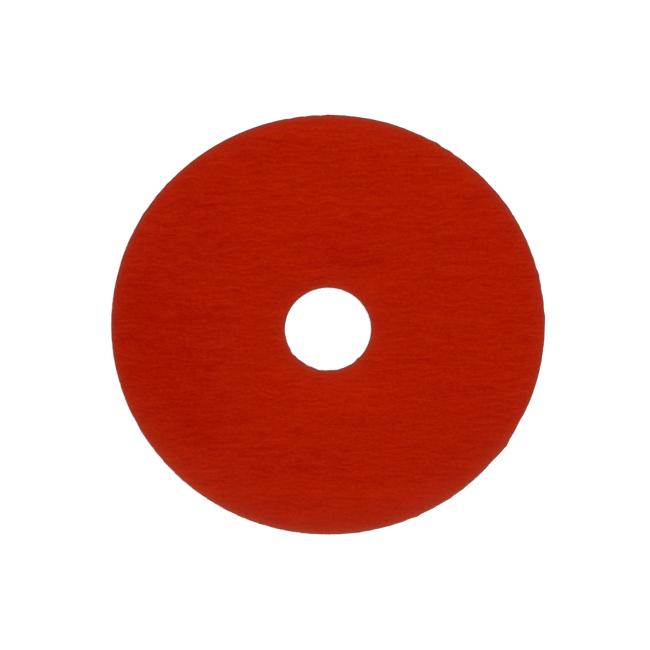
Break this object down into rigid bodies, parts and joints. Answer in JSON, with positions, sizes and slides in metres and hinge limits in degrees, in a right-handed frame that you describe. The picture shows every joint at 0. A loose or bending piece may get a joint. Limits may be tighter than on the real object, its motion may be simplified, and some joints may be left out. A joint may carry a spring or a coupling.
{
  "type": "fibre sanding disc",
  "caption": "Flat round fibre sanding disc with a centre hole and red abrasive grain on one face, for sanding and grinding with an angle grinder and backing pad.",
  "frame": {"origin": "centre of the hole, in the plane of the bare back of the disc", "axes": "+Z out of the grain side along the axis of rotation, X and Y in the plane of the disc"},
  "size_m": [0.115, 0.1151, 0.0013],
  "materials": {
    "red_grain": "matte"
  },
  "bodies": {
    "root": {"sanding_disc": "red_grain"}
  },
  "joints": []
}
